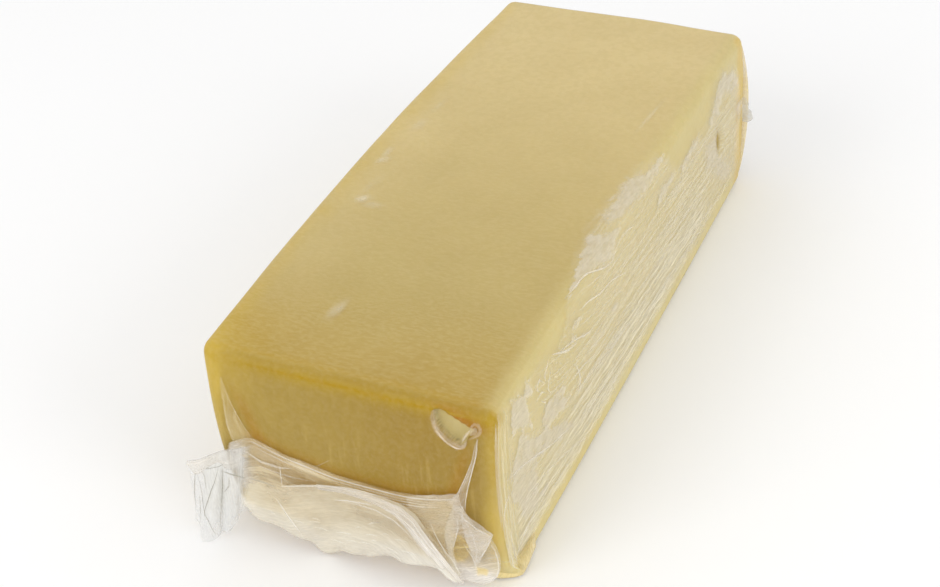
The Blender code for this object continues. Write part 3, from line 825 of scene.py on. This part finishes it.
def make_end_folds(prefix, crown, seed, turn):
    """The folded film of one end: the band under the seam, the flap over it, the layers tucked
    under the flap's right end, the ear folded on to them and the two webs."""
    made = []

    def add(name, points, material, white=1.0, upright=False, warm=0.0):
        """One sheet, turned half round about z for the far end."""
        film_sheet(prefix + name, points * turn, material, white, seed + len(made), upright, warm)
        made.append(name)

    v, u, flat = span(44, 100, SEAM, np.array(HEM) * (0.98, 1) + (0, 4))
    band = stand_off(flat, 1.5 * ease(v * 14) + 3.2 * np.sin(v * math.pi / 2), crown)
    band[..., 1] -= 1.6 * (folds(band, (5, 99, 4.5), seed + 2) - 0.5) * ease((0.3 - u) / 0.2) * ease(v * 8)
    white = 0.9 + 0.6 * bell((v - 0.05) / 0.05) + 0.6 * ease((0.55 - u) / 0.25)
    white += 0.25 * ease((0.22 - u) / 0.2)
    warm = 0.55 * ease((u - 0.06) / 0.12) + 0.2 * ease((u - 0.45) / 0.2)
    add("seal_band", crumple(band, (30, 9, 3.6), 0.8, seed + 1), BAND_FILM, white * ease(u / 0.03), warm=warm)

    v, u = grid(56, 150)
    flat = between(curve(u, ARCH), curve(u, HEM, 0.011), v)
    flap = stand_off(flat, 3.6 + 5.2 * np.sin(v * math.pi / 2), crown)
    flap = crumple(flap, (34, 9, 9), 0.4, seed + 3)
    flap[..., 1] -= 0.6 * ease((v - 0.7) / 0.3) * np.sin(u * 44 + 3 * v)
    white = (0.95 + 0.5 * ease((v - 0.35) / 0.35)) * (1 - 0.25 * ease((v - 0.92) / 0.08))
    white *= 0.15 + 0.85 * ease(u / 0.07)
    warm = 0.36 - 0.2 * ease((v - 0.3) / 0.5) - 0.16 * ease((u - 0.4) / 0.6)
    add("seal_flap", flap, FLAP_FILM, white, warm=warm)

    v, u, flat = span(60, 14, FOLD_TOP, FOLD_LOW, True)
    out = 4.4 + 2.8 * v + 1.0 * np.sin(math.pi * u) + 0.35 * np.sin(u * 19 + 5 * v)
    white = 1.6 + 0.8 * v + 2.2 * ease((v - 0.6) / 0.3) + 0.4 * np.sin(u * 9 + 3 * v)
    add("seal_fold", stand_off(flat, out, crown), BAND_FILM, white, True)

    v, u, flat = span(44, 44, TUCK_LEFT, LOBE, True)
    tuck = stand_off(flat, 1.2 + 3.4 * np.sin(v * math.pi / 2) - 0.8 * u, crown)
    across, up = flat[..., 0], flat[..., 1]
    clear = ease(outline_level(across, up, AMBER_SPOT) / 1.6 + 0.5)
    spot = ease(outline_level(across, up, LOBE_SPOT) / 0.8 + 0.5)
    white = 1.4 + 2.2 * ease((21 - up) / 10) + 1.4 * spot + 1.1 * clear
    warm = np.clip(0.3 + 0.65 * clear + 0.8 * spot - 0.3 * ease((17 - up) / 8), 0, 1)
    add("seal_tuck", crumple(tuck, (7, 9, 12), 0.9, seed + 5), BAND_FILM, white, warm=warm)

    v, u, flat = span(40, 10, PLEAT_LEFT, PLEAT_RIGHT, True)
    pleat = stand_off(flat, 2.4 + 3.0 * v + 0.8 * np.sin(math.pi * u), crown)
    add("seal_pleat", pleat, FLAP_FILM, 0.5 * ease((1 - v) / 0.3))

    v, u, flat = span(34, 24, EAR_FOLD_LEFT, EAR_FOLD_RIGHT, True)
    folded = stand_off(flat, 3.4 + 2.6 * v - 1.2 * np.abs(u - 0.5), crown)
    add("ear_folded", crumple(folded, (5, 9, 9), 0.6, seed + 7), BAND_FILM, 1.2 * ease(v * 4))

    for name, lines, white, tan in (("web_left", WEB_LEFT, 0.8, 0.7), ("web_right", WEB_RIGHT, 0.95, 0.0)):
        v, u, flat = span(44, 16, *lines, True)
        web = stand_off(flat, 0.3 + 2.0 * v * np.sin(math.pi * u) + 1.4 * v, crown)
        web = crumple(web, (3, 9, 30), 0.25, seed + 9)
        add(name, web, BAND_FILM, (white + 0.25 * v) * (1 - ease((v - 0.85) / 0.15)), True, tan)


def ear_place(v, u):
    """The left ear: a curtain from its top line to its hem, bowed forward, with folds that deepen
    towards the hem and one deep fold between its two lobes."""
    points = between(curve(u, EAR_TOP), curve(u, EAR_HEM), v)
    run = xyz(u * 34, v * 3, 0)
    points[..., 1] -= 2.2 * v * (folds(run, (6.5, 9, 9), 61) - 0.5)
    points[..., 1] += 2.4 * bell((u - 0.45) / 0.06) * ease(v * 2)
    points[..., 1] -= 1.5 * np.sin(v * math.pi) * (1 - u)
    points[..., 0] += 0.5 * noise(run, (4, 2.5, 9), 62) * v
    return points


def make_ear():
    """The left ear's curtain, and the band folded over along its top."""
    v, u = grid(60, 90)
    place = ear_place(v, u)
    x, z = place[..., 0], place[..., 2]
    covered = ease((x + 69) / 7) * ease((z - 6) / 14)
    covered *= 1 - 0.35 * ease((x + 61) / 8)
    covered *= 1 - 0.7 * ease((z - 39) / 5)
    white = ease(u / 0.16) * (1.0 + 0.3 * ease(v * 1.4) + 2.2 * covered)
    film_sheet("ear_left", place, EAR_FILM, white, 9, True, 0.1 * covered)
    v, u = grid(8, 60)
    band = ear_place(v * (0.17 + 0.06 * np.sin(u * 9)), 0.12 + 0.87 * u)
    band[..., 1] -= 0.9 * np.sin(math.pi * (0.1 + 0.8 * v))
    film_sheet("ear_hem_band", band, BAND_FILM, 1.7 - 0.9 * ease((0.36 - u) / 0.2), 11)


def make_far_ear():
    """The far end's ear: a short crumpled tab past the cut side."""
    v, u = grid(24, 24)
    outer = np.interp(v, [0, 0.2, 0.4, 0.5, 0.8, 0.9, 1], [63.5, 65.4, 64.8, 66.6, 67.4, 66.6, 64.4])
    points = xyz(52 + (outer - 52) * u, END + 1 + 2.0 * u * v, 48 - 15 * v + 1.5 * (1 - u))
    film_sheet("ear_far", crumple(points, (5, 9, 6), 0.8, 71), EAR_FILM, 1.4, 10)


# ---- creases: thin raised ridges of gathered film

# A thin ridge's height as a share of its width, the shares of its line at which it is drawn, the way
# out of the near end, and how many creases are tried on the cut side
RIDGE_RISE = 0.6
RIDGE_SHARES = np.linspace(0, 1, 44)
TO_NEAR = (0.0, -1.0, 0.0)
CREASES = 460


def ridges(name, paths, normals, widths, heights, material, white, sides=6):
    """Ridges along paths of shape (ridges, points, 3): around each path point a ring, half a width to
    the sides and half a height along the normal, both eased to nothing at the two ends, where the
    ring closes to one point. Widths, heights and white, their haze, are for all ridges or for each,
    and white may also be for each point."""
    count, steps = paths.shape[:2]
    normals = np.broadcast_to(normals, paths.shape)
    widths, heights = (np.broadcast_to(size, count)[:, None, None, None] for size in (widths, heights))
    taper = (np.sin(np.linspace(0, math.pi, steps)) ** 0.7)[None, :, None, None]
    side = np.cross(np.gradient(paths, axis=1), normals)
    side /= np.maximum(np.linalg.norm(side, axis=-1, keepdims=True), 1e-9)
    turn = np.arange(sides) * 2 * math.pi / sides
    wide = side[:, :, None] * (np.cos(turn)[None, None, :, None] * widths / 2)
    tall = normals[:, :, None] * (np.sin(turn)[None, None, :, None] * heights / 2)
    body = (paths[:, :, None] + (wide + tall) * taper)[:, 1:-1].reshape(-1, 3)
    ends = paths[:, [0, -1]].reshape(-1, 3)
    ids = np.arange(len(body)).reshape(count, steps - 2, sides)
    after = np.roll(ids, -1, axis=2)
    quads = np.stack([ids[:, :-1], after[:, :-1], after[:, 1:], ids[:, 1:]], axis=-1).reshape(-1, 4)
    first = np.arange(count)[:, None] * 2 + len(body)
    start = np.stack([first + 0 * ids[:, 0], after[:, 0], ids[:, 0]], axis=-1).reshape(-1, 3)
    stop = np.stack([first + 1 + 0 * ids[:, 0], ids[:, -1], after[:, -1]], axis=-1).reshape(-1, 3)
    points = np.concatenate([body, ends])
    faces = quads.tolist() + start.tolist() + stop.tolist()
    haze = np.broadcast_to(np.expand_dims(white, -1) if np.ndim(white) == 1 else white, (count, steps))
    haze = np.concatenate([np.repeat(haze[:, 1:-1].reshape(-1), sides), haze[:, [0, -1]].reshape(-1)])
    mesh_piece(name, points, faces, material, {"run": points, "haze": haze}).visible_shadow = False


def side_paths(y, up):
    """Places of the cut side, and on across the top, laid on the film with their outward ways."""
    over = np.maximum(up - TOP, 0)
    sharp = xyz(SIDE - over, y, np.minimum(up, TOP) - TOP / 2)
    turned = ease((up - TOP) / 8 + 0.5) * math.pi / 2
    normals = xyz(np.cos(turned), 0, np.sin(turned))
    lift = side_lift(y, up) + 0.05
    wear = worn_edge(sharp.reshape(-1, 3)).reshape(y.shape)
    return on_block(sharp) + normals * (lift - wear)[..., None], normals


def make_side_creases():
    """Ridges on the cut side: the strongest folds, each with its own line, and fine ones scattered
    along the run of the creases."""
    share = np.linspace(0, 1, 30)
    flat = np.array([curve(share, knots) for knots, _ in SIDE_LINES])
    widths = np.array([width for _, width in SIDE_LINES]) * 0.8
    paths, normals = side_paths(flat[..., 0], flat[..., 1])
    ridges("side_folds", paths, normals, widths, widths * RIDGE_RISE, CREASE_FILM, 0.75)
    rng = np.random.default_rng(81)
    places = (CREASES, 1)
    y0 = rng.uniform(-136, 130, places)
    z0 = rng.uniform(14, 90, places)
    length = rng.uniform(12, 85, places)
    share = np.linspace(-0.5, 0.5, 20)
    slope = -0.09 - 0.23 * ease((z0 - 45) / 25) * (y0 < -50) + rng.normal(0, 0.02, places)
    y = y0 + length * share
    z = z0 + slope * length * share
    z += rng.uniform(-0.4, 0.4, places) * np.sin(share * 5 + rng.uniform(0, 6, places))
    fits = (zone_level(y, z).min(axis=1) > 1.0) & (patch_level(y, z).max(axis=1) < -0.5)
    paths, normals = side_paths(y[fits], z[fits])
    widths = rng.uniform(0.2, 0.5, fits.sum())
    haze = rng.uniform(0.2, 0.6, fits.sum())
    ridges("side_creases", paths, normals, widths, widths * RIDGE_RISE, CREASE_FILM, haze)


def end_ridges(name, lines, crown, material):
    """Ridges on the near end's film from rows of (line, distance out, width, haze)."""
    paths = np.array([stand_off(curve(RIDGE_SHARES, knots), out, crown) for knots, out, _, _ in lines])
    widths, white = np.array([line[2:] for line in lines]).T
    ridges(name, paths, TO_NEAR, widths, widths * RIDGE_RISE, material, white)


def lowered(line, drop, start, stop):
    """A stretch of a line, moved down."""
    return [(x, z - drop) for x, z in line if start <= x <= stop]


def make_end_creases(crown):
    """The bright folds of the near end's film, some whitened as painted highlights, and its few shaded ones,
    as ridges.
    """
    lines = [
        # The seam's ridge and thin ones just under it: folds of film, whitened as painted highlights along
        # the seam
        *((lowered(SEAM, drop, start, stop), *rest) for drop, start, stop, *rest in (
            (0, -48, 60, 1.7, 0.7, 1.1), (1.2, -22, 40, 2.0, 0.4, 0.8), (2.1, -8, 42, 2.3, 0.5, 0.9),
            (3.1, 0, 42, 2.7, 0.7, 0.8), (4.2, 4, 32, 3.0, 0.4, 0.8), (1.6, -42, -12, 2.2, 0.4, 0.7))),
        ([(-46, 46), (-38, 41.6), (-30, 41), (-24, 42.4)], 3.4, 1.2, 0.5),
        ([(-42, 40), (-34, 38.6), (-26, 38), (-16, 38.6)], 3.8, 0.5, 0.5),
        ([(-31, 31.4), (-20.8, 35.2), (-10.8, 38.6), (-1.3, 41), (7.5, 41.8), (14, 41.6)], 4.6, 0.7, 1.3),
        ([(-4.8, 35.6), (1.5, 37.5), (7.3, 38.2), (12.8, 39.0)], 7.4, 0.8, 0.9),
        ([(-1.2, 41.2), (4.7, 41.5), (13.3, 42.5)], 5.4, 0.5, 0.8),
        ([(-2, 36), (6, 37.2), (14, 36.6), (21, 33.5), (26, 28), (31, 20)], 7.6, 0.5, 0.9),
        ([(14, 40.6), (22, 38.2), (27, 34), (31.5, 26.4), (36, 18), (40, 11)], 8.0, 0.4, 0.8),
        ([(20, 40.4), (25, 39), (28.8, 36), (30.6, 32), (33, 26.8), (36, 21.8), (38.8, 16.4), (41, 12.4),
          (44.2, 7)], 7.8, 0.6, 1.1),
        ([(-30.5, 31), (-27, 20), (-23.2, 9.5)], 9.4, 0.7, 1.1),
        ([(-28.2, 45), (-29, 38), (-29.6, 31.5)], 4.8, 0.4, 0.9),
        ([(35.5, 38.5), (36.6, 31.3), (38.2, 26.1), (40, 20.9), (42.5, 16.5), (43.6, 10.6), (44, 6.6)],
         6.2, 0.5, 1.0),
        ([(47.4, 44), (46.6, 36), (45, 30), (43, 24)], 5.6, 0.4, 0.8),
        ([(48, 45.6), (50, 42.6), (54.8, 39.6), (60.5, 37)], 5.8, 0.45, 1.0),
        ([(60.5, 37), (58.2, 31.2), (55.4, 25.2), (53, 20.5)], 6.0, 0.45, 0.8),
        ([(58.6, 32.6), (60.4, 28.9), (61.1, 23.4), (60.8, 18.9), (59.4, 12.8), (55.8, 7.6), (50.8, 3.8),
          (45.6, 3.2)], 4.8, 0.7, 0.8),
        ([(50, 45), (53, 36), (54, 28), (52.4, 20)], 6.6, 0.35, 0.8),
        ([(48, 30), (51, 22), (52, 12)], 5.8, 0.4, 0.8),
        (WEB_LEFT[1], 1.4, 0.4, 0.25), (WEB_LEFT[0], 1.0, 0.4, 0.2),
        (WEB_RIGHT[0], 1.4, 0.35, 0.9), (WEB_RIGHT[1], 1.6, 0.45, 1.1),
        ([(-15.8, 43.4), (-12.2, 45.8), (-7.8, 49.4)], 0.5, 0.25, 0.7),
        ([(49, 4.8), (54, 5.2), (59, 6.2)], 0.3, 0.5, 0.9),
    ]
    # Painted highlights: short white ridges where small waves of the flap catch the light
    wave_highlights = [(-16.2, 22.8, -12.3, 22.8), (-17.3, 20.1, -12, 21.4), (-6.1, 17.9, 0.8, 19.5),
             (7.2, 21.7, 13.4, 23.4), (15.4, 25.2, 18.2, 25.9), (3.4, 24.3, 6.9, 26),
             (9.5, 28.5, 14.9, 31.9), (-16.3, 17.4, -9.6, 17.3), (-2.5, 14.3, 3.2, 15.4),
             (3.2, 15.4, 8.9, 16.6), (9.3, 18.7, 12.3, 19.9), (-35.4, 20.1, -33.4, 17),
             (-26.4, 17.3, -20.6, 18.1), (15.6, 17.8, 20.5, 15.1), (20, 24, 26, 24.6), (22, 18, 29, 17.6),
             (-10, 12, -3, 11.6)]
    lines += [([(a, b), ((a + c) / 2, (b + d) / 2 + 0.5), (c, d)], 9.0, 0.55, 0.5) for a, b, c, d in wave_highlights]
    end_ridges("end_creases", lines, crown, CREASE_FILM)
    shaded = [
        ([(-55.7, 34.2), (-50.1, 33.6), (-44.2, 33.9)], 7.0, 0.7, 1.4),
        ([(-44.2, 33.9), (-35.7, 33.7), (-30.3, 32.7)], 6.6, 0.6, 0.8),
    ]
    end_ridges("end_shaded_folds", shaded, crown, SHADE_FILM)


def make_edge_creases():
    """Two upright creases of the near right edge: one on the block's edge, and one along its foot."""
    up = curve(RIDGE_SHARES, [(84,), (76,), (60,), (45,), (33,)])[:, 0]
    outward = np.array([math.sqrt(0.5), -math.sqrt(0.5), 0.0])
    foot = [(62.9, -149, 33), (62.9, -149.3, 26), (62.9, -148.2, 17.4), (62.9, -146.1, 9)]
    edge = on_block(xyz(SIDE, -END, up - TOP / 2)) + outward * 0.2
    paths = np.array([edge, curve(RIDGE_SHARES, foot)])
    ridges("edge_creases", paths, outward, [1.3, 0.5], 0.4, CREASE_FILM, [0.35, 0.6])


def make_eye_rim(crown):
    """The film drawn tight round the near end's eye: a thick bead down its left and along its foot, a
    short bar up its right wall and a small loop beside it."""
    bead = [(38.2, 84.6), (37.1, 83.5), (36.8, 80.3), (37.9, 77), (39.9, 74.2), (42.6, 72.1), (45.3, 71),
            (47.7, 70.8), (49.3, 72), (50.2, 74.6)]
    bar = [(51.7, 79.3), (49.6, 76.2), (48.3, 73.4)]
    loop = [(51.2, 78.6), (52.2, 81), (53.4, 82.4), (54.8, 82.5), (55.8, 80.7), (55.0, 78.4), (52.7, 76.5),
            (50.8, 75.4)]
    heart = [(51.6, 77.2), (53, 79), (54, 81.2)]
    shine = [(37.6, 80.6), (38.2, 78), (39.6, 75.4), (41.6, 73.3), (44.3, 71.6), (46.6, 70.9), (48.2, 71.2)]
    # Each line with its distance out, width, height and its haze at even steps along it
    rows = (
        (bead, -0.1, 2.6, 1.5, [0.2, 0.3, 0.4, 0.6, 0.6, 0.4, 0.6, 0.8, 0.7, 0.4]),
        (bar, -0.2, 1.1, 0.9, [0.9]), (loop, 0.2, 1.5, 0.9, [0.4]), (heart, 0.0, 2.4, 0.8, [0.45]),
        (shine, 0.8, 0.9, 0.6, [0.2, 0.9, 2.0, 0.9, 2.2, 1.8]),
    )
    paths = np.array([stand_off(curve(RIDGE_SHARES, line), out, crown) for line, out, *_ in rows])
    white = np.array([np.interp(RIDGE_SHARES, np.linspace(0, 1, len(row[4])), row[4]) for row in rows])
    widths, heights = np.array([row[2:4] for row in rows]).T
    ridges("eye_rim", paths, TO_NEAR, widths, heights, RIM_FILM, white, 12)


def make_corner_gather():
    """The film gathered at the foot of the near right edge: a sheet that bulges from the side, most at
    mid height, with upright folds, its near end drawn in round the corner."""
    v, u = grid(40, 70)
    foot = [(62.1, -127.5), (62.5, -132), (63, -138), (63.3, -143), (60.6, -145.4), (55, -148), (44, -150.2)]
    head = [(62.1, -127.5), (62.9, -132), (63.4, -138), (63.2, -144.6), (61.4, -147.6), (56, -149.9),
            (44, -151)]
    flat = between(curve(u, foot, 0.03), curve(u, head, 0.03), ease(v))
    bulge = 1.6 * np.sin(math.pi * np.clip(v * 1.1, 0, 1)) * ease(u / 0.4) * ease((0.72 - u) / 0.2)
    pleats = 0.3 * (folds(xyz(u * 24, v * 4, 0), (5.5, 9, 9), 91) - 0.5) * ease(u / 0.1) * ease((1 - u) / 0.1)
    round_corner = ease((u - 0.5) / 0.15)
    up = 0.8 + (9 + 3 * ease(u * 3) + 10 * round_corner) * v
    haze = (0.5 + 1.0 * ease((1 - v) / 0.4)) * (1 - round_corner)
    haze += (0.4 + 2.4 * ease((0.34 - v) / 0.1)) * round_corner
    points = xyz(flat[..., 0] + bulge + pleats, flat[..., 1], up)
    film_sheet("corner_gather", points, GOLD_FILM, haze * ease((1 - u) / 0.06), 12, True)


def make_far_fold():
    """The film folded over the far right upright edge: one soft bead that stands off the corner."""
    up = 80 - 76 * RIDGE_SHARES
    outward = np.array([math.sqrt(0.5), math.sqrt(0.5), 0.0])
    path = on_block(xyz(SIDE, END, up - TOP / 2)) + outward * np.sin(math.pi * RIDGE_SHARES)[:, None] * 0.6
    ridges("far_edge_fold", path[None], outward, 5.5, 4.4, GOLD_FILM, 1.1, 12)


def make_ear_creases():
    """The ear's shaded folds, as ridges along lines (down, along) of its curtain."""
    lines = [
        ([(0.12, 0.86), (0.45, 0.88), (0.85, 0.9)], 0.5),
        ([(0.2, 0.84), (0.55, 0.72), (0.8, 0.6), (0.95, 0.52)], 0.5),
        ([(0.15, 0.52), (0.4, 0.62), (0.62, 0.66), (0.7, 0.66)], 0.5),
        ([(0.14, 0.8), (0.25, 0.72), (0.4, 0.68)], 0.4),
        ([(0.2, 0.42), (0.5, 0.46), (0.8, 0.48), (0.97, 0.46)], 0.5),
        ([(0.3, 0.3), (0.42, 0.3), (0.5, 0.38)], 0.5),
        ([(0.17, 0.15), (0.17, 0.4), (0.16, 0.6), (0.14, 0.95)], 0.4),
        ([(0.5, 0.8), (0.7, 0.78), (0.95, 0.8)], 0.4),
    ]
    flat = np.array([curve(np.linspace(0, 1, 30), line) for line, _ in lines])
    paths = ear_place(flat[..., 0], flat[..., 1]) - (0, 0.25, 0)
    widths = np.array([width for _, width in lines])
    ridges("ear_creases", paths, TO_NEAR, widths * 0.7, widths * RIDGE_RISE, SHADE_FILM, 0.8)


# ---- camera, floor and light


def make_camera():
    """The photograph's view: a camera placed by its turn, height angle, roll, distance and aim."""
    azimuth, elevation, roll = (math.radians(a) for a in (27.981, 36.785, -5.869))
    distance, aim_right, aim_up = 0.715408, -0.022192, 0.014796
    back = Vector((
        math.sin(azimuth) * math.cos(elevation),
        -math.cos(azimuth) * math.cos(elevation),
        math.sin(elevation),
    ))
    level = (-back).cross(Vector((0, 0, 1))).normalized()
    upright = level.cross(-back)
    right = math.cos(roll) * level + math.sin(roll) * upright
    up = math.cos(roll) * upright - math.sin(roll) * level
    spot = right * aim_right + up * aim_up + back * distance
    data = bpy.data.cameras.new("camera")
    data.lens = 58.728
    data.sensor_width = 36
    data.clip_start = 0.02
    camera = bpy.data.objects.new("camera", data)
    axes = Matrix((right, up, back)).transposed().to_4x4()
    camera.matrix_world = Matrix.Translation(spot) @ axes
    collection.objects.link(camera)
    bpy.context.scene.camera = camera


def make_floor():
    """A plain white floor."""
    half = 4.0
    corners = [(-half, -half, 0), (half, -half, 0), (half, half, 0), (-half, half, 0)]
    mesh = bpy.data.meshes.new("floor")
    mesh.from_pydata(corners, [], [(0, 1, 2, 3)])
    made, _, shader = new_material("floor_white")
    join(shader, {"Base Color": (0.985, 0.985, 0.985, 1), "Roughness": 0.9})
    mesh.materials.append(made)
    floor = bpy.data.objects.new("floor", mesh)
    floor.location.z = -0.0002
    collection.objects.link(floor)


# The light all round, and each lamp's name, place, aim, size and power
WORLD_STRENGTH = 0.85
LIGHTS = (
    ("key", (-0.8, -1.6, 1.3), (0, 0, 0.05), 1.0, 9),
    ("side", (1.7, -0.4, 0.9), (0, 0, 0.05), 0.9, 7),
)


def make_light():
    """Even white light all round, a broad soft light before the near end and one beside the cut side."""
    world = bpy.data.worlds.new("studio")
    world.use_nodes = True
    join(world.node_tree.nodes["Background"], {"Color": (1, 1, 1, 1), "Strength": WORLD_STRENGTH})
    bpy.context.scene.world = world
    for name, place, aim, size, power in LIGHTS:
        data = bpy.data.lights.new(name, "AREA")
        data.shape = "SQUARE"
        data.size = size
        data.energy = power
        lamp = bpy.data.objects.new(name, data)
        lamp.location = place
        lamp.rotation_mode = "QUATERNION"
        lamp.rotation_quaternion = (Vector(aim) - Vector(place)).to_track_quat("-Z", "Y")
        collection.objects.link(lamp)


make_cheese()
make_skin()
make_end_folds("near_", CROWN_NEAR, 100, np.array([1, 1, 1]))
make_end_folds("far_", CROWN_FAR, 200, np.array([-1, -1, 1]))
make_ear()
make_far_ear()
make_side_creases()
make_end_creases(CROWN_NEAR)
make_edge_creases()
make_eye_rim(CROWN_NEAR)
make_corner_gather()
make_far_fold()
make_ear_creases()
make_camera()
make_floor()
make_light()
scene = bpy.context.scene
scene.view_settings.view_transform = "Standard"
scene.cycles.transparent_max_bounces = 32
